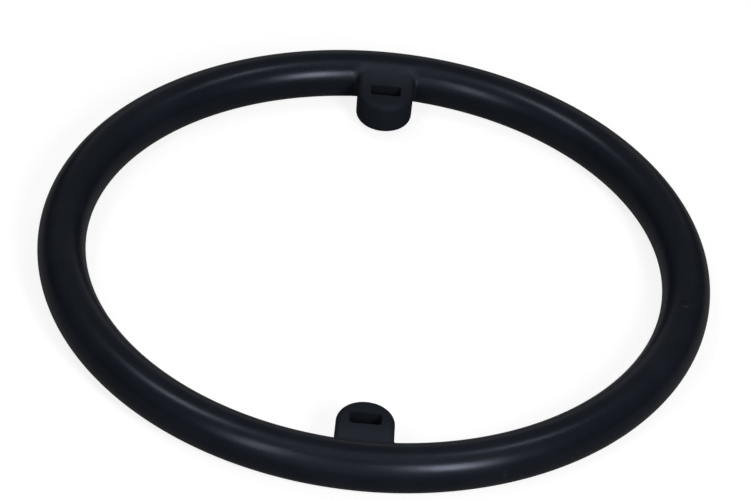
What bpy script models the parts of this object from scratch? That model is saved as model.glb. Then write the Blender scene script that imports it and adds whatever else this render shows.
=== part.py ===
"""Oil cooler seal: a round rubber ring with two slotted locating lugs moulded on its inner side.

Metres, with +Z along the ring's axis. The origin is the ring's centre, midway between its two
sealing crests. The lugs lie on the Y axis, facing each other across the bore.

The whole seal is one moulding, so it is one closed skin: the round cord, a hollow fillet where
each lug grows out of it, the lug's rounded rim and flat faces, and the slot through the lug.
"""

import math

import bmesh
import bpy
from mathutils import Matrix, Vector

MM = 0.001

# Ring
BORE = 66.0 * MM
CORD = 5.5 * MM

# Lugs
LUG_COUNT = 2
LUG_REACH = 6.25 * MM
LUG_WIDTH = 6.55 * MM
CREST_OVER_LUG = 0.75 * MM
LUG_RIM = 0.8 * MM

# Fillets between a lug and the ring: a long one on its faces, which tapers near their edges to
# the short one of its sides
FACE_FILLET = 5.0 * MM
SIDE_FILLET = 0.5 * MM
FILLET_TAPER = 1.2 * MM

# Slot through each lug
SLOT_LENGTH = 3.5 * MM
SLOT_WIDTH = 1.8 * MM
SLOT_CORNER = 0.4 * MM
SLOT_TO_TIP = 2.35 * MM

# Rubber
RUBBER_COLOUR = (0.006, 0.008, 0.012, 1.0)
RUBBER_ROUGHNESS = 0.42

# How finely the skin is divided. CORNER_STEPS is even, because the ring's opening turns mid-corner.
RING_STEPS = 46
BACK_STEPS = 12
CREST_STEPS = 1
FACE_STEPS = 10
SIDE_STEPS = 4
CORNER_STEPS = 6
MARGIN_STEPS = 2
FILLET_STEPS = 5
STRAIGHT_STEPS = 3
SKIN_STEPS = 2
SLOT_CORNER_STEPS = 3
SLOT_END_STEPS = 1
SLOT_TIP_STEPS = 6
MARGIN = 0.4 * MM
WELD = 0.001 * MM

# Sizes that follow from those above
CORD_RADIUS = CORD / 2
RING_RADIUS = BORE / 2 + CORD_RADIUS
HALF_WIDTH = LUG_WIDTH / 2
HALF_THICKNESS = CORD_RADIUS - CREST_OVER_LUG
TIP = BORE / 2 - LUG_REACH
HEAD_CENTRE = TIP + HALF_WIDTH
SLOT_CENTRE = TIP + SLOT_TO_TIP + SLOT_WIDTH / 2
HEAD_STEPS = 4 * SLOT_CORNER_STEPS + 2 * SLOT_END_STEPS + SLOT_TIP_STEPS - 2 * STRAIGHT_STEPS


def ring_point(turn, tilt):
    """A point on the cord. turn is from +Y towards +X; tilt is 0 at the bore and pi/2 on top."""
    reach = RING_RADIUS - CORD_RADIUS * math.cos(tilt)
    return Vector((reach * math.sin(turn), reach * math.cos(turn), CORD_RADIUS * math.sin(tilt)))


def steps_between(start, end, count):
    """count points from start towards end, without end itself."""
    return [start.lerp(end, i / count) for i in range(count)]


def rounded_loop(half_long, half_high, radius, long_steps, high_steps, corner_steps):
    """(point, normal) round a round-cornered rectangle, clockwise from the left end of its top."""
    inner = Vector((half_long - radius, half_high - radius))
    centres = [inner, inner * Vector((1, -1)), -inner, inner * Vector((-1, 1))]
    loop = []
    for corner, centre in enumerate(centres):
        start = math.pi / 2 * (1 - corner)
        facing = Vector((math.cos(start), math.sin(start)))
        steps = (long_steps[corner // 2], high_steps)[corner % 2]
        for point in steps_between(centres[corner - 1], centre, steps):
            loop.append((point + facing * radius, facing))
        for i in range(corner_steps):
            angle = start - math.pi / 2 * i / corner_steps
            facing_here = Vector((math.cos(angle), math.sin(angle)))
            loop.append((centre + facing_here * radius, facing_here))
    return loop


def lug_outline():
    """The lug's section across its length, as (x, z) points with their outward normals."""
    face_steps = (FACE_STEPS, FACE_STEPS)
    return rounded_loop(HALF_WIDTH, HALF_THICKNESS, LUG_RIM, face_steps, SIDE_STEPS, CORNER_STEPS)


def fillet(point, facing):
    """(turn, tilt) where a ball that rolls along the lug touches the ring, and its arc from there."""
    share = min(max((HALF_WIDTH - LUG_RIM - abs(point.x)) / FILLET_TAPER, 0), 1)
    radius = SIDE_FILLET + (FACE_FILLET - SIDE_FILLET) * share * share * (3 - 2 * share)
    ball_x, ball_z = point + facing * radius
    ball_reach = RING_RADIUS - math.sqrt((CORD_RADIUS + radius) ** 2 - ball_z**2)
    ball = Vector((ball_x, math.sqrt(ball_reach**2 - ball_x**2), ball_z))
    turn = math.atan2(ball.x, ball.y)
    tilt = math.atan2(ball.z, RING_RADIUS - ball_reach)
    to_ring = (ring_point(turn, tilt) - ball).normalized()
    to_lug = Vector((-facing.x, 0, -facing.y))
    arc = [ball + radius * to_ring.slerp(to_lug, i / FILLET_STEPS) for i in range(FILLET_STEPS + 1)]
    return turn, tilt, arc


def opening_loop(turn, tilt):
    """(turn, tilt) round the opening that a lug's root makes in the ring, in lug_outline's order."""
    corners = [Vector(c) for c in ((-turn, tilt), (turn, tilt), (turn, -tilt), (-turn, -tilt))]
    counts = (FACE_STEPS + CORNER_STEPS, SIDE_STEPS + CORNER_STEPS)
    loop = []
    for i, corner in enumerate(corners):
        loop += steps_between(corner, corners[(i + 1) % 4], counts[i % 2])
    half = CORNER_STEPS // 2
    return loop[half:] + loop[:half]


def root_rows(fillets, opening):
    """Closed rows from the opening in the ring, over the fillet, to the lug's own walls."""
    margin = []
    for step in range(MARGIN_STEPS):
        share = step / MARGIN_STEPS
        row = []
        for (turn, tilt, _), edge in zip(fillets, opening):
            row.append(ring_point(*edge.lerp(Vector((turn, tilt)), share)))
        margin.append(row)
    return margin + [[arc[i] for _, _, arc in fillets] for i in range(FILLET_STEPS + 1)]


def line_round_lug(root):
    """From a point on the lug's right-hand wall at its root, round the head, to the left-hand wall."""
    half, height = root.x, root.z
    straight = steps_between(root, Vector((half, HEAD_CENTRE, height)), STRAIGHT_STEPS)
    line = list(straight)
    for i in range(HEAD_STEPS + 1):
        angle = math.pi * i / HEAD_STEPS
        line.append(Vector((half * math.cos(angle), HEAD_CENTRE - half * math.sin(angle), height)))
    return line + [Vector((-p.x, p.y, p.z)) for p in reversed(straight)]


def slot_loop(height):
    """The slot's edge at one height, clockwise from the left end of the side next to the ring."""
    long_steps = (FACE_STEPS, SLOT_TIP_STEPS)
    half_long, half_high = SLOT_LENGTH / 2, SLOT_WIDTH / 2
    loop = rounded_loop(half_long, half_high, SLOT_CORNER, long_steps, SLOT_END_STEPS, SLOT_CORNER_STEPS)
    return [Vector((point.x, SLOT_CENTRE + point.y, height)) for point, _ in loop]


def face_rows(face_edge, height):
    """Closed rows of a lug's flat face, from its edge in to the slot."""
    slot = slot_loop(height)
    rows = []
    for step in range(SKIN_STEPS + 1):
        share = step / SKIN_STEPS
        rows.append([outer.lerp(inner, share) for outer, inner in zip(face_edge, slot)])
    return rows


def even(start, end, count):
    return [start + (end - start) * i / count for i in range(count + 1)]


def add_patch(mesh, rows, closed, placing):
    """Four-sided faces between rows of points. A closed row's last point joins its first."""
    made = [[mesh.verts.new(placing @ point) for point in row] for row in rows]
    for row, following in zip(made, made[1:]):
        for i in range(len(row) if closed else len(row) - 1):
            j = (i + 1) % len(row)
            mesh.faces.new((row[i], row[j], following[j], following[i]))


def lug_patches():
    """The skin of one lug at +Y with its root, and the (turn, tilt) of the opening it stands in."""
    outline = lug_outline()
    fillets = [fillet(point, facing) for point, facing in outline]
    turn = max(f[0] for f in fillets) + MARGIN / (BORE / 2)
    tilt = max(f[1] for f in fillets) + MARGIN / CORD_RADIUS
    root = root_rows(fillets, opening_loop(turn, tilt))
    walls = root[-1]
    side_start = FACE_STEPS
    side_end = side_start + 2 * CORNER_STEPS + SIDE_STEPS
    side = [line_round_lug(walls[k]) for k in range(side_start, side_end + 1)]
    upper_edge = walls[:FACE_STEPS] + side[0][:-1]
    lower_edge = [Vector((p.x, p.y, -p.z)) for p in upper_edge]
    upper = face_rows(upper_edge, HALF_THICKNESS)
    lower = face_rows(lower_edge, -HALF_THICKNESS)
    patches = [(root, True), (side, False), (upper, True), (lower, True), ([upper[-1], lower[-1]], True)]
    return patches, turn, tilt


def ring_patches(turn, tilt, next_lug):
    """The plain ring from one lug's opening to the next, and the cord's back behind the opening."""
    bore_side = even(tilt, -tilt, SIDE_STEPS + CORNER_STEPS)
    crest = max(tilt, math.pi / 2)
    to_crest = even(-tilt, -crest, CREST_STEPS)
    past_crest = even(crest - 2 * math.pi, tilt - 2 * math.pi, CREST_STEPS)
    back = to_crest + even(-crest, crest - 2 * math.pi, BACK_STEPS)[1:-1] + past_crest
    section = bore_side + back[1:-1]
    plain = [[ring_point(t, s) for s in section] for t in even(turn, next_lug - turn, RING_STEPS)]
    behind = [[ring_point(t, s) for s in back] for t in even(-turn, turn, FACE_STEPS + CORNER_STEPS)]
    return [(plain, True), (behind, False)]


def seal_mesh():
    pitch = 2 * math.pi / LUG_COUNT
    lug, turn, tilt = lug_patches()
    skin = bmesh.new()
    for rows, closed in lug + ring_patches(turn, tilt, pitch):
        for place in range(LUG_COUNT):
            add_patch(skin, rows, closed, Matrix.Rotation(-pitch * place, 3, "Z"))
    bmesh.ops.remove_doubles(skin, verts=skin.verts, dist=WELD)
    bmesh.ops.recalc_face_normals(skin, faces=skin.faces)
    mesh = bpy.data.meshes.new("seal_ring")
    skin.to_mesh(mesh)
    skin.free()
    mesh.shade_smooth()
    mesh.set_sharp_from_angle(angle=math.radians(40))
    return mesh


def rubber():
    material = bpy.data.materials.new("black_rubber")
    material.use_nodes = True
    shader = material.node_tree.nodes["Principled BSDF"]
    shader.inputs["Base Color"].default_value = RUBBER_COLOUR
    shader.inputs["Roughness"].default_value = RUBBER_ROUGHNESS
    shader.inputs["Metallic"].default_value = 0.0
    return material


def main():
    for obj in list(bpy.data.objects):
        bpy.data.objects.remove(obj)
    seal = bpy.data.objects.new("seal_ring", seal_mesh())
    seal.data.materials.append(rubber())
    bpy.context.scene.collection.objects.link(seal)


main()
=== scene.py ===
"""Oil cooler seal: a moulded rubber ring with two slotted lugs, dressed, lit and seen as in its photo.

Metres, in the part's own frame: +Z along the ring's axis, the lugs on the Y axis, and the origin at
the ring's centre. One skin stands for the whole moulding.
"""

import math

import bmesh
import bpy
from mathutils import Matrix, Vector

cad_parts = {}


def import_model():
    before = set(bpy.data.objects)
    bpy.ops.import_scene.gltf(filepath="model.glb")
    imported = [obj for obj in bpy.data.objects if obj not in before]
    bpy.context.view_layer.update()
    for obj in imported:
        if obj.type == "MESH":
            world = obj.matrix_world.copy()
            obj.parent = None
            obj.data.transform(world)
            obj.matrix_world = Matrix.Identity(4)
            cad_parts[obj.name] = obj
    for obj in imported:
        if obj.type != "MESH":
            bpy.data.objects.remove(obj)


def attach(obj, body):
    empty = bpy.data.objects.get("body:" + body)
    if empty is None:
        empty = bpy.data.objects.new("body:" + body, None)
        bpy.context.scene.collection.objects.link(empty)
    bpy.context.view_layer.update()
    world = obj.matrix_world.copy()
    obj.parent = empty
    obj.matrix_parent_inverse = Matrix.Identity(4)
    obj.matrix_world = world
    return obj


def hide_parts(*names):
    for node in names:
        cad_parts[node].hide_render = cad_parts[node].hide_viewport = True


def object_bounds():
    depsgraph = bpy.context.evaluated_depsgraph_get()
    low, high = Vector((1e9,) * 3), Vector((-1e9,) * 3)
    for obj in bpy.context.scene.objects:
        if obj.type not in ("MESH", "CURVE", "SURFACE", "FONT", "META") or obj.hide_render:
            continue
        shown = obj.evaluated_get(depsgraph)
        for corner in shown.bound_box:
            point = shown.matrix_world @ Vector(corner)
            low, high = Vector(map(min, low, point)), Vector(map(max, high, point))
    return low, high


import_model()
cad_low, cad_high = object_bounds()

MM = 0.001
FULL_TURN = 2 * math.pi

# Lugs. The ring's own sizes come from the frame.
LUG_COUNT = 2
LUG_REACH = 6.25 * MM
LUG_WIDTH = 6.55 * MM
CREST_OVER_LUG = 0.75 * MM
LUG_RIM = 0.8 * MM

# Fillets between a lug and the ring: a long one on its faces, which tapers near their edges to the
# short one of its sides
FACE_FILLET = 5.0 * MM
SIDE_FILLET = 0.5 * MM
FILLET_TAPER = 1.2 * MM

# Slot through each lug, with rounded lips
SLOT_LENGTH = 3.5 * MM
SLOT_WIDTH = 1.8 * MM
SLOT_CORNER = 0.4 * MM
SLOT_TO_TIP = 2.35 * MM
SLOT_LIP = 0.06 * MM

# How finely the skin is divided. CORNER_STEPS is even, because the ring's opening turns mid-corner.
RING_STEPS = 132
BACK_STEPS = 64
FACE_STEPS = 24
SIDE_STEPS = 20
CORNER_STEPS = 8
MARGIN_STEPS = 3
FILLET_STEPS = 12
STRAIGHT_STEPS = 10
FACE_ROWS = 5
LIP_STEPS = 3
WALL_STEPS = 3
SLOT_CORNER_STEPS = 8
SLOT_END_STEPS = 4
SLOT_TIP_STEPS = 24

# The strip of plain cord that a lug's patch keeps round its fillets, and how near its points weld
MARGIN = 0.4 * MM
WELD = 0.001 * MM

# Sizes that follow from those above and from the frame
outer_radius = (cad_high.x - cad_low.x) / 2
cord_radius = (cad_high.z - cad_low.z) / 2
ring_radius = outer_radius - cord_radius
bore_radius = ring_radius - cord_radius
half_width = LUG_WIDTH / 2
half_thickness = cord_radius - CREST_OVER_LUG
tip = bore_radius - LUG_REACH
head_centre = tip + half_width
slot_centre = tip + SLOT_TO_TIP + SLOT_WIDTH / 2

# A lug's edge has as many points as its slot, so that the faces between them have four sides
head_steps = 4 * SLOT_CORNER_STEPS + 2 * SLOT_END_STEPS + SLOT_TIP_STEPS - 2 * STRAIGHT_STEPS

# A Mix node's sockets for colours, which share their names with its sockets for numbers
MIX_FIRST = 6
MIX_SECOND = 7
MIX_RESULT = 2


class Tree:
    """Adds nodes to a shader or geometry tree."""

    def __init__(self, tree):
        self.tree = tree

    def node(self, kind, settings=(), values=()):
        """A node of a type: its settings first, then the values or links of its sockets."""
        made = self.tree.nodes.new(kind)
        for name, value in dict(settings).items():
            setattr(made, name, value)
        for key, value in dict(values).items():
            socket = made.inputs[key]
            if isinstance(value, Wire):
                self.tree.links.new(value.socket, socket)
            else:
                socket.default_value = value
        return made

    def wire(self, kind, settings=(), values=(), output=0):
        """One output of a new node."""
        return Wire(self, self.node(kind, settings, values).outputs[output])

    def given(self):
        """The tree's own inputs, by name."""
        sockets = self.node("NodeGroupInput").outputs
        return {socket.name: Wire(self, socket) for socket in sockets if socket.name}

    def blend(self, share, first, second):
        """The first colour where share is 0, the second where it is 1, and a mix between."""
        values = {"Factor": share, MIX_FIRST: first, MIX_SECOND: second}
        return self.wire("ShaderNodeMix", {"data_type": "RGBA"}, values, MIX_RESULT)


class Wire:
    """A node's output. An expression on one that carries a number adds its Math nodes."""

    def __init__(self, owner, socket):
        self.owner = owner
        self.socket = socket

    def math(self, operation, *others):
        values = dict(enumerate((self, *others)))
        return self.owner.wire("ShaderNodeMath", {"operation": operation}, values)

    def reflected(self, operation, first):
        return self.owner.wire("ShaderNodeMath", {"operation": operation}, {0: first, 1: self})

    def __add__(self, other):
        return self.math("ADD", other)

    def __radd__(self, other):
        return self.reflected("ADD", other)

    def __sub__(self, other):
        return self.math("SUBTRACT", other)

    def __rsub__(self, other):
        return self.reflected("SUBTRACT", other)

    def __mul__(self, other):
        return self.math("MULTIPLY", other)

    def __rmul__(self, other):
        return self.reflected("MULTIPLY", other)

    def __truediv__(self, other):
        return self.math("DIVIDE", other)

    def __rtruediv__(self, other):
        return self.reflected("DIVIDE", other)

    def __neg__(self):
        return self.math("MULTIPLY", -1.0)

    def smooth_between(self, low, high):
        """0 below low, 1 above high, and smooth between."""
        settings = {"interpolation_type": "SMOOTHSTEP"}
        values = {"Value": self, "From Min": low, "From Max": high}
        return self.owner.wire("ShaderNodeMapRange", settings, values)


def bare_tree(owner):
    """The emptied nodes of a material or a world."""
    owner.use_nodes = True
    owner.node_tree.nodes.clear()
    return Tree(owner.node_tree)


def placed(name, data):
    """A new object in the scene."""
    made = bpy.data.objects.new(name, data)
    bpy.context.scene.collection.objects.link(made)
    return made


def ring_point(turn, tilt):
    """A point on the cord. turn is from +Y towards +X; tilt is 0 at the bore and pi/2 on top."""
    reach = ring_radius - cord_radius * math.cos(tilt)
    return Vector((reach * math.sin(turn), reach * math.cos(turn), cord_radius * math.sin(tilt)))


def steps_between(start, end, count):
    """count points from start towards end, without end itself."""
    return [start.lerp(end, i / count) for i in range(count)]


def rows_between(first, last, count):
    """Rows of points in count steps from the first row to the last, with both."""
    rows = []
    for step in range(count + 1):
        rows.append([a.lerp(b, step / count) for a, b in zip(first, last)])
    return rows


def rounded_loop(half_long, half_high, radius, long_steps, high_steps, corner_steps):
    """(point, normal) round a round-cornered rectangle, clockwise from the left end of its top."""
    inner = Vector((half_long - radius, half_high - radius))
    centres = [inner, inner * Vector((1, -1)), -inner, inner * Vector((-1, 1))]
    loop = []
    for corner, centre in enumerate(centres):
        start = math.pi / 2 * (1 - corner)
        facing = Vector((math.cos(start), math.sin(start)))
        steps = (long_steps[corner // 2], high_steps)[corner % 2]
        for point in steps_between(centres[corner - 1], centre, steps):
            loop.append((point + facing * radius, facing))
        for i in range(corner_steps):
            angle = start - math.pi / 2 * i / corner_steps
            facing_here = Vector((math.cos(angle), math.sin(angle)))
            loop.append((centre + facing_here * radius, facing_here))
    return loop


def fillet(point, facing):
    """(turn, tilt) where a ball that rolls along the lug touches the ring, and its arc from there."""
    share = min(max((half_width - LUG_RIM - abs(point.x)) / FILLET_TAPER, 0), 1)
    radius = SIDE_FILLET + (FACE_FILLET - SIDE_FILLET) * share * share * (3 - 2 * share)
    ball_x, ball_z = point + facing * radius
    ball_reach = ring_radius - math.sqrt((cord_radius + radius) ** 2 - ball_z**2)
    ball = Vector((ball_x, math.sqrt(ball_reach**2 - ball_x**2), ball_z))
    turn = math.atan2(ball.x, ball.y)
    tilt = math.atan2(ball.z, ring_radius - ball_reach)
    to_ring = (ring_point(turn, tilt) - ball).normalized()
    to_lug = Vector((-facing.x, 0, -facing.y))
    arc = [ball + radius * to_ring.slerp(to_lug, i / FILLET_STEPS) for i in range(FILLET_STEPS + 1)]
    return turn, tilt, arc


def opening_loop(turn, tilt):
    """(turn, tilt) round the opening that a lug's root makes in the ring, in the lug outline's order."""
    corners = [Vector(c) for c in ((-turn, tilt), (turn, tilt), (turn, -tilt), (-turn, -tilt))]
    counts = (FACE_STEPS + CORNER_STEPS, SIDE_STEPS + CORNER_STEPS)
    loop = []
    for i, corner in enumerate(corners):
        loop += steps_between(corner, corners[(i + 1) % 4], counts[i % 2])
    half = CORNER_STEPS // 2
    return loop[half:] + loop[:half]


def root_rows(fillets, opening):
    """Closed rows from the opening in the ring, over the fillet, to the lug's own walls."""
    margin = []
    for step in range(MARGIN_STEPS):
        share = step / MARGIN_STEPS
        row = []
        for (turn, tilt, _), edge in zip(fillets, opening):
            row.append(ring_point(*edge.lerp(Vector((turn, tilt)), share)))
        margin.append(row)
    return margin + [[arc[i] for _, _, arc in fillets] for i in range(FILLET_STEPS + 1)]


def line_round_lug(root):
    """From a point on the lug's right-hand wall at its root, round the head, to the left-hand wall."""
    half, height = root.x, root.z
    straight = steps_between(root, Vector((half, head_centre, height)), STRAIGHT_STEPS)
    line = list(straight)
    for i in range(head_steps + 1):
        angle = math.pi * i / head_steps
        line.append(Vector((half * math.cos(angle), head_centre - half * math.sin(angle), height)))
    return line + [Vector((-p.x, p.y, p.z)) for p in reversed(straight)]


def slot_loop(height, spread):
    """The slot's outline at one height, widened by spread, clockwise from the left of its ring side."""
    sizes = (SLOT_LENGTH / 2 + spread, SLOT_WIDTH / 2 + spread, SLOT_CORNER + spread)
    loop = rounded_loop(*sizes, (FACE_STEPS, SLOT_TIP_STEPS), SLOT_END_STEPS, SLOT_CORNER_STEPS)
    return [Vector((point.x, slot_centre + point.y, height)) for point, _ in loop]


def slot_lip(side):
    """Closed rows from a lug's face over the slot's lip to its wall. side is 1 above and -1 below."""
    rows = []
    for i in range(LIP_STEPS + 1):
        angle = math.pi / 2 * i / LIP_STEPS
        height = half_thickness - SLOT_LIP * (1 - math.cos(angle))
        rows.append(slot_loop(side * height, SLOT_LIP * (1 - math.sin(angle))))
    return rows


def slot_rows():
    """Closed rows from the slot's upper lip down its wall to the lower lip."""
    upper, lower = slot_lip(1), slot_lip(-1)
    wall = rows_between(upper[-1], lower[-1], WALL_STEPS)[1:-1]
    return upper + wall + lower[::-1]


def add_patch(skin, rows, closed):
    """Four-sided faces between rows of points. A closed row's last point joins its first."""
    made = [[skin.verts.new(point) for point in row] for row in rows]
    for row, following in zip(made, made[1:]):
        for i in range(len(row) if closed else len(row) - 1):
            j = (i + 1) % len(row)
            skin.faces.new((row[i], row[j], following[j], following[i]))


def face_outward(skin):
    """Turns all faces outward, which on the highest one is upward."""
    bmesh.ops.recalc_face_normals(skin, faces=skin.faces)
    highest = max(skin.faces, key=lambda face: face.calc_center_median().z)
    if highest.normal.z < 0:
        bmesh.ops.reverse_faces(skin, faces=skin.faces)


def mesh_of(name, skin):
    mesh = bpy.data.meshes.new(name)
    skin.to_mesh(mesh)
    skin.free()
    return mesh


def lug_mesh():
    """The skin of the lug at +Y with its root, and (turn, tilt) of the opening that it fills."""
    face_steps = (FACE_STEPS, FACE_STEPS)
    outline = rounded_loop(half_width, half_thickness, LUG_RIM, face_steps, SIDE_STEPS, CORNER_STEPS)
    fillets = [fillet(point, facing) for point, facing in outline]
    turn = max(f[0] for f in fillets) + MARGIN / bore_radius
    tilt = max(f[1] for f in fillets) + MARGIN / cord_radius
    root = root_rows(fillets, opening_loop(turn, tilt))
    walls = root[-1]
    side_end = FACE_STEPS + 2 * CORNER_STEPS + SIDE_STEPS
    side = [line_round_lug(walls[k]) for k in range(FACE_STEPS, side_end + 1)]
    upper_edge = walls[:FACE_STEPS] + side[0][:-1]
    lower_edge = [Vector((p.x, p.y, -p.z)) for p in upper_edge]
    slot = slot_rows()
    skin = bmesh.new()
    add_patch(skin, root, True)
    add_patch(skin, side, False)
    add_patch(skin, rows_between(upper_edge, slot[0], FACE_ROWS), True)
    add_patch(skin, rows_between(lower_edge, slot[-1], FACE_ROWS), True)
    add_patch(skin, slot, True)
    bmesh.ops.remove_doubles(skin, verts=skin.verts, dist=WELD)
    face_outward(skin)
    return mesh_of("lug", skin), turn, tilt


def add_inputs(tree, kind, *names):
    for name in names:
        tree.interface.new_socket(name, in_out="INPUT", socket_type=kind)


def ring_stretch_tree():
    """Geometry nodes: a stretch of the cord between two turns and two tilts."""
    tree = bpy.data.node_groups.new("ring stretch", "GeometryNodeTree")
    add_inputs(tree, "NodeSocketFloat", "Ring Radius", "Cord Radius")
    add_inputs(tree, "NodeSocketFloat", "First Turn", "Last Turn", "First Tilt", "Last Tilt")
    add_inputs(tree, "NodeSocketInt", "Steps Along", "Steps Round")
    tree.interface.new_socket("Stretch", in_out="OUTPUT", socket_type="NodeSocketGeometry")
    t = Tree(tree)
    ask = t.given()
    counts = {"Vertices X": ask["Steps Along"] + 1, "Vertices Y": ask["Steps Round"] + 1}
    grid = t.wire("GeometryNodeMeshGrid", values={"Size X": 1.0, "Size Y": 1.0, **counts})
    place = t.node("ShaderNodeSeparateXYZ", values={0: t.wire("GeometryNodeInputPosition")})
    # The grid is centred, so half its size brings it to 0 to 1 each way
    along = Wire(t, place.outputs["X"]) + 0.5
    around = Wire(t, place.outputs["Y"]) + 0.5
    turn = ask["First Turn"] + along * (ask["Last Turn"] - ask["First Turn"])
    tilt = ask["First Tilt"] + around * (ask["Last Tilt"] - ask["First Tilt"])
    reach = ask["Ring Radius"] - ask["Cord Radius"] * tilt.math("COSINE")
    parts = {
        "X": reach * turn.math("SINE"),
        "Y": reach * turn.math("COSINE"),
        "Z": ask["Cord Radius"] * tilt.math("SINE"),
    }
    point = t.wire("ShaderNodeCombineXYZ", values=parts)
    stretch = t.wire("GeometryNodeSetPosition", values={"Geometry": grid, "Position": point})
    t.node("NodeGroupOutput", values={"Stretch": stretch})
    return tree


def seal_tree():
    """Geometry nodes: one lug and its share of the ring, repeated round the axis and welded."""
    tree = bpy.data.node_groups.new("seal moulding", "GeometryNodeTree")
    add_inputs(tree, "NodeSocketGeometry", "Lug")
    add_inputs(tree, "NodeSocketFloat", "Ring Radius", "Cord Radius", "Opening Turn", "Opening Tilt")
    add_inputs(tree, "NodeSocketFloat", "Weld")
    add_inputs(tree, "NodeSocketInt", "Lugs", "Ring Steps", "Back Steps", "Bore Steps", "Behind Steps")
    add_inputs(tree, "NodeSocketMaterial", "Rubber")
    tree.interface.new_socket("Seal", in_out="OUTPUT", socket_type="NodeSocketGeometry")
    t = Tree(tree)
    ask = t.given()
    turn, tilt = ask["Opening Turn"], ask["Opening Tilt"]
    next_turn = FULL_TURN / ask["Lugs"] - turn
    stretches = (
        (turn, next_turn, -tilt, tilt, ask["Ring Steps"], ask["Bore Steps"]),
        (turn, next_turn, tilt - FULL_TURN, -tilt, ask["Ring Steps"], ask["Back Steps"]),
        (-turn, turn, tilt - FULL_TURN, -tilt, ask["Behind Steps"], ask["Back Steps"]),
    )
    names = ("First Turn", "Last Turn", "First Tilt", "Last Tilt", "Steps Along", "Steps Round")
    stretch_tree = ring_stretch_tree()
    join = t.node("GeometryNodeJoinGeometry")
    for stretch in stretches:
        values = {"Ring Radius": ask["Ring Radius"], "Cord Radius": ask["Cord Radius"]}
        values.update(zip(names, stretch))
        patch = t.wire("GeometryNodeGroup", {"node_tree": stretch_tree}, values)
        tree.links.new(patch.socket, join.inputs[0])
    tree.links.new(ask["Lug"].socket, join.inputs[0])
    points = t.wire("GeometryNodePoints", values={"Count": ask["Lugs"], "Position": (0.0, 0.0, 0.0)})
    index = t.wire("GeometryNodeInputIndex")
    spin = t.wire("ShaderNodeCombineXYZ", values={"Z": -(index * FULL_TURN / ask["Lugs"])})
    shared = {"Points": points, "Instance": Wire(t, join.outputs[0]), "Rotation": spin}
    copies = t.wire("GeometryNodeInstanceOnPoints", values=shared)
    solid = t.wire("GeometryNodeRealizeInstances", values={"Geometry": copies})
    welded = t.wire("GeometryNodeMergeByDistance", values={"Geometry": solid, "Distance": ask["Weld"]})
    smooth = t.wire("GeometryNodeSetShadeSmooth", values={"Geometry": welded, "Shade Smooth": True})
    finished = t.wire("GeometryNodeSetMaterial", values={"Geometry": smooth, "Material": ask["Rubber"]})
    t.node("NodeGroupOutput", values={"Seal": finished})
    return tree


def seal_piece(rubber):
    """The whole moulding as one plain mesh."""
    lug, turn, tilt = lug_mesh()
    maker = placed("seal_maker", lug)
    tree = seal_tree()
    values = {
        "Ring Radius": ring_radius,
        "Cord Radius": cord_radius,
        "Opening Turn": turn,
        "Opening Tilt": tilt,
        "Weld": WELD,
        "Lugs": LUG_COUNT,
        "Ring Steps": RING_STEPS,
        "Back Steps": BACK_STEPS,
        "Bore Steps": SIDE_STEPS + CORNER_STEPS,
        "Behind Steps": FACE_STEPS + CORNER_STEPS,
        "Rubber": rubber,
    }
    modifier = maker.modifiers.new("moulding", "NODES")
    modifier.node_group = tree
    for item in tree.interface.items_tree:
        if item.in_out == "INPUT" and item.name in values:
            modifier[item.identifier] = values[item.name]
    shown = maker.evaluated_get(bpy.context.evaluated_depsgraph_get())
    mesh = bpy.data.meshes.new_from_object(shown)
    mesh.name = "seal_moulding"
    bpy.data.objects.remove(maker)
    return placed("seal_moulding", mesh)


RUBBER_DARK = (0.0054, 0.0072, 0.0108, 1.0)
RUBBER_BLOOM = (0.0074, 0.0094, 0.0136, 1.0)
# Painted light: a paler colour for where light falls on the lugs' roots
RUBBER_ROOT_PAINTED_LIGHT = (0.0150, 0.0180, 0.0245, 1.0)
# Painted shade: a darker colour for the shade inside the slots
RUBBER_SLOT_PAINTED_SHADE = (0.0028, 0.0040, 0.0064, 1.0)
RUBBER_SCUFFED = (0.0170, 0.0198, 0.0245, 1.0)
RUBBER_NICKED = (0.0004, 0.0006, 0.0010, 1.0)

SHEEN_LEVEL = 0.2
SHEEN_TINT = (0.74, 0.80, 1.0, 1.0)

# Unevenness of the rubber: the scale and the detail of each noise
CLOUDS = (160.0, 3.0)
RIPPLE = (700.0, 2.0)
GRAIN = (9000.0, 2.0)

# Bloom: it starts and is full at these values of the clouds, and covers at most this share
BLOOM_FROM = 0.42
BLOOM_FULL = 0.70
BLOOM_SHARE = 0.8

# The lugs' dull skin: out to a distance from the axis, and a little past their sides
LUG_DULL_TO = 34.5 * MM
LUG_DULL_BESIDE = 0.3 * MM
LUG_DULL_FADE = 0.4 * MM

# Painted light on the lugs' roots, a paler colour where light falls on their fillets: it grows from one
# distance from the axis to another, ends just past that, and is stronger where the clouds are
ROOT_LIGHT_FROM = 29.5 * MM
ROOT_LIGHT_TO = 34.2 * MM
ROOT_LIGHT_FADE = 0.3 * MM
ROOT_LIGHT_SHARE = 0.6
ROOT_LIGHT_CLOUDED = 0.7

# Roughness: the ring's least, and what the clouds, the grain and the lugs' dull skin add
RING_ROUGHNESS = 0.22
CLOUDS_ROUGHEN = 0.08
GRAIN_ROUGHENS = 0.04
LUGS_ROUGHEN = 0.45

# The skin's relief: the shares of its two noises, its strength and its depth
RELIEF_RIPPLE = 0.6
RELIEF_GRAIN = 0.4
RELIEF_STRENGTH = 0.10
RELIEF_DEPTH = 0.04 * MM

# Small marks of handling on the ring: the middle of each, its reach each way from there, its colour
MARKS = (
    ((35.20 * MM, -5.43 * MM, 2.75 * MM), (0.40 * MM, 0.12 * MM, 0.60 * MM), RUBBER_NICKED),
    ((35.35 * MM, -6.35 * MM, 2.70 * MM), (0.35 * MM, 0.14 * MM, 0.60 * MM), RUBBER_SCUFFED),
    ((15.60 * MM, -35.20 * MM, 0.15 * MM), (0.14 * MM, 0.20 * MM, 0.40 * MM), RUBBER_SCUFFED),
)


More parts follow.
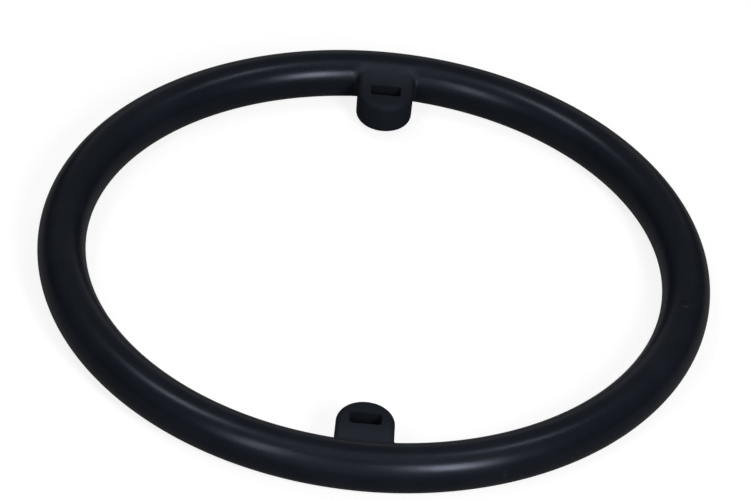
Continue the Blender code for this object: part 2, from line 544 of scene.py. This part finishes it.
def rubber_material():
    """Black rubber: satin ring, dull lugs, faint bloom, painted light on lug roots, painted shade in
    slots.
    """
    material = bpy.data.materials.new("black_rubber")
    t = bare_tree(material)
    place = t.wire("ShaderNodeTexCoord", output="Object")
    parts = t.node("ShaderNodeSeparateXYZ", values={0: place})
    across, along, height = (Wire(t, parts.outputs[axis]) for axis in "XYZ")

    def noise(scale, detail):
        values = {"Vector": place, "Scale": scale, "Detail": detail}
        return t.wire("ShaderNodeTexNoise", values=values)

    def within(distance, edge, fade):
        """1 inside the edge, 0 outside it, and smooth over the fade on both sides of it."""
        return 1 - distance.smooth_between(edge - fade, edge + fade)

    def near(centre, reaches):
        """1 at the centre, fading over its reach each way."""
        apart = 0.0
        for part, middle, farthest in zip((across, along, height), centre, reaches):
            share = (part - middle) / farthest
            apart = share * share + apart
        return (-apart).math("EXPONENT")

    clouds = noise(*CLOUDS)
    ripple = noise(*RIPPLE)
    grain = noise(*GRAIN)
    reach = (across * across + along * along).math("SQRT")
    beside = across.math("ABSOLUTE")
    above = height.math("ABSOLUTE")
    past_slot_centre = (reach - slot_centre).math("ABSOLUTE")

    on_lug = within(reach, LUG_DULL_TO, LUG_DULL_FADE)
    on_lug = on_lug * within(beside, half_width + LUG_DULL_BESIDE, LUG_DULL_FADE)
    # Mask of the painted light on the lugs' roots
    root_light_mask = reach.smooth_between(ROOT_LIGHT_FROM, ROOT_LIGHT_TO)
    root_light_mask = root_light_mask * within(reach, ROOT_LIGHT_TO + ROOT_LIGHT_FADE, ROOT_LIGHT_FADE)
    root_light_mask = root_light_mask * within(beside, half_width, ROOT_LIGHT_FADE)
    root_light_mask = root_light_mask * above.smooth_between(half_thickness - LUG_RIM, half_thickness)
    # Mask of the painted shade inside the slots
    slot_shade_mask = within(beside, SLOT_LENGTH / 2 + SLOT_LIP, SLOT_LIP)
    slot_shade_mask = slot_shade_mask * within(past_slot_centre, SLOT_WIDTH / 2 + SLOT_LIP, SLOT_LIP)
    bloom = clouds.smooth_between(BLOOM_FROM, BLOOM_FULL) * BLOOM_SHARE
    painted_root_light = root_light_mask * (ROOT_LIGHT_SHARE + clouds * ROOT_LIGHT_CLOUDED)

    colour = t.blend(bloom, RUBBER_DARK, RUBBER_BLOOM)
    # Painted light on the lugs' roots, then painted shade inside the slots
    colour = t.blend(painted_root_light, colour, RUBBER_ROOT_PAINTED_LIGHT)
    colour = t.blend(slot_shade_mask, colour, RUBBER_SLOT_PAINTED_SHADE)
    for centre, reaches, mark in MARKS:
        colour = t.blend(near(centre, reaches), colour, mark)
    roughness = RING_ROUGHNESS + clouds * CLOUDS_ROUGHEN + grain * GRAIN_ROUGHENS
    roughness = roughness + on_lug * LUGS_ROUGHEN
    relief = ripple * RELIEF_RIPPLE + grain * RELIEF_GRAIN
    raised = {"Strength": RELIEF_STRENGTH, "Distance": RELIEF_DEPTH, "Height": relief}
    finish = {
        "Base Color": colour,
        "Roughness": roughness,
        "Metallic": 0.0,
        "Specular IOR Level": SHEEN_LEVEL,
        "Specular Tint": SHEEN_TINT,
        "Normal": t.wire("ShaderNodeBump", values=raised),
    }
    shader = t.wire("ShaderNodeBsdfPrincipled", values=finish)
    t.node("ShaderNodeOutputMaterial", values={"Surface": shader})
    return material


# Floor: a wide disc, its colour to the camera and to the seal, and how far it glows to the camera
FLOOR_RADIUS = 2.5
FLOOR_SIDES = 96
FLOOR_SEEN = (0.24, 0.24, 0.24, 1.0)
FLOOR_ROUND_SEAL = (0.19, 0.19, 0.19, 1.0)
FLOOR_LIFT = 0.82


def floor_material():
    """A pale floor: white to the camera, with the seal's soft shadow, and dim to the seal."""
    material = bpy.data.materials.new("pale_floor")
    t = bare_tree(material)
    camera_ray = t.wire("ShaderNodeLightPath", output="Is Camera Ray")
    colour = t.blend(camera_ray, FLOOR_ROUND_SEAL, FLOOR_SEEN)
    lit = t.wire("ShaderNodeBsdfDiffuse", values={"Color": colour})
    white = t.wire("ShaderNodeEmission", values={"Strength": camera_ray * FLOOR_LIFT})
    both = t.wire("ShaderNodeAddShader", values={0: lit, 1: white})
    t.node("ShaderNodeOutputMaterial", values={"Surface": both})
    return material


def floor():
    disc = bmesh.new()
    bmesh.ops.create_circle(disc, cap_ends=True, segments=FLOOR_SIDES, radius=FLOOR_RADIUS)
    bmesh.ops.translate(disc, verts=disc.verts, vec=(0, 0, cad_low.z))
    made = placed("floor", mesh_of("floor", disc))
    made.data.materials.append(floor_material())
    return made


def direction(azimuth, elevation):
    """Towards the studio: azimuth 0 is in front of the seal, on -Y, and 90 is on +X."""
    turn, rise = math.radians(azimuth), math.radians(elevation)
    return Vector((math.sin(turn) * math.cos(rise), -math.cos(turn) * math.cos(rise), math.sin(rise)))


# Softboxes: azimuth and elevation in degrees, distance, width and height in metres, power in watts
SOFTBOXES = {
    "front_fill": (0, 22, 1.2, 1.8, 1.2, 3.5),
    "front_right": (30, 33, 0.45, 0.10, 0.153, 1.2),
    "front_left": (-33, 37, 0.4, 0.056, 0.18, 0.32),
    "back_right": (117, 67, 1.0, 0.14, 0.13, 0.7),
    "back_left": (-115, 64, 1.0, 0.20, 0.15, 1.35),
    "back_low": (180, 14, 1.2, 0.9, 0.45, 0.4),
    "overhead": (0, 85, 1.2, 0.8, 0.8, 1.3),
}


def softbox(name, azimuth, elevation, distance, width, height, power):
    """A lamp that faces the seal and that the camera doesn't see."""
    lamp = bpy.data.lights.new(name, "AREA")
    lamp.shape = "RECTANGLE"
    lamp.size = width
    lamp.size_y = height
    lamp.energy = power
    made = placed(name, lamp)
    towards = direction(azimuth, elevation)
    made.location = towards * distance
    made.rotation_euler = towards.to_track_quat("Z", "Y").to_euler()
    made.visible_camera = False


# World: its strength overhead, and the height of a direction of length 1 from which it is full
WORLD_HIGH = 0.14
WORLD_FULL_AT = 0.7
WHITE = (1.0, 1.0, 1.0, 1.0)


def world():
    """Soft light that grows from the horizon up, and white where the camera sees past the floor."""
    made = bpy.data.worlds.new("studio")
    t = bare_tree(made)
    camera_ray = t.wire("ShaderNodeLightPath", output="Is Camera Ray")
    place = t.wire("ShaderNodeTexCoord", output="Generated")
    height = t.wire("ShaderNodeSeparateXYZ", values={0: place}, output="Z")
    soft = height.smooth_between(0.0, WORLD_FULL_AT) * WORLD_HIGH
    strength = soft + camera_ray * (1 - soft)
    light = t.wire("ShaderNodeBackground", values={"Color": WHITE, "Strength": strength})
    t.node("ShaderNodeOutputWorld", values={"Surface": light})
    bpy.context.scene.world = made


# The photo's camera: its sensor in millimetres, its angles in degrees, and the rest in metres where
# its name doesn't say pixels
PHOTO_WIDTH_PIXELS = 750
FOCAL_PIXELS = 5275.7
SENSOR = 36.0
VIEW_AZIMUTH = -1.82
VIEW_ELEVATION = 38.46
VIEW_ROLL = -6.46
VIEW_DISTANCE = 602.2 * MM
VIEW_ACROSS = -0.023 * MM
VIEW_UP = -1.313 * MM
CLIP_START = 0.05
CLIP_END = 20.0


def camera():
    lens = bpy.data.cameras.new("camera")
    lens.sensor_width = SENSOR
    lens.lens = FOCAL_PIXELS / PHOTO_WIDTH_PIXELS * SENSOR
    lens.clip_start = CLIP_START
    lens.clip_end = CLIP_END
    made = placed("camera", lens)
    back = direction(VIEW_AZIMUTH, VIEW_ELEVATION)
    level = Vector((0, 0, 1)).cross(back).normalized()
    upright = back.cross(level)
    roll = math.radians(VIEW_ROLL)
    right = level * math.cos(roll) - upright * math.sin(roll)
    up = level * math.sin(roll) + upright * math.cos(roll)
    matrix = Matrix((right, up, back)).transposed().to_4x4()
    matrix.translation = back * VIEW_DISTANCE - right * VIEW_ACROSS - up * VIEW_UP
    made.matrix_world = matrix
    bpy.context.scene.camera = made


camera()
world()
for name, settings in SOFTBOXES.items():
    softbox(name, *settings)
floor()

seal = seal_piece(rubber_material())
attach(seal, "root")
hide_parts("seal_ring")

bpy.context.scene.view_settings.view_transform = "Standard"
